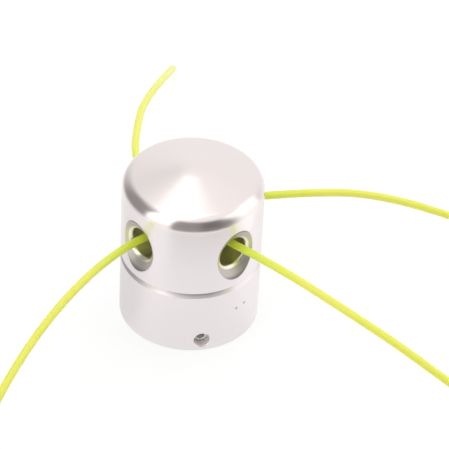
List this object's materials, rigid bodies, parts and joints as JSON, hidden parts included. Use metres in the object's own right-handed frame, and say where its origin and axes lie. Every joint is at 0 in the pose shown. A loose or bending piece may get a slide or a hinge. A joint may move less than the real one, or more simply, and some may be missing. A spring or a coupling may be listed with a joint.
{
  "type": "fixed line trimmer head",
  "caption": "Turned aluminium trimmer head with a conical cap, flared line passages, a threaded spindle bush and fixed lengths of stiff cutting line.",
  "frame": {"origin": "centre of the flat seat face at the bottom of the head, without the lines", "axes": "+Z along the spindle axis towards the conical tip; the line passages point along +X, +Y, -X and -Y"},
  "size_m": [0.2594, 0.2738, 0.0678],
  "materials": {
    "turned_aluminium": "fine turned, bright",
    "carrier_aluminium": "turned, satin",
    "plated_steel": "machined steel, zinc plated",
    "stop_aluminium": "crimped tube, satin",
    "nylon_line": "translucent yellow-green nylon"
  },
  "bodies": {
    "root": {"base": "turned_aluminium", "cap": "turned_aluminium", "line_carrier": "carrier_aluminium", "carrier_pin": "plated_steel", "spindle_bush": "plated_steel", "locking_screw": "plated_steel", "line_stop_front_right": "stop_aluminium", "line_stop_back_right": "stop_aluminium", "line_stop_back_left": "stop_aluminium", "line_stop_front_left": "stop_aluminium", "line_front_right": "nylon_line", "line_back_right": "nylon_line", "line_back_left": "nylon_line", "line_front_left": "nylon_line"}
  },
  "joints": []
}
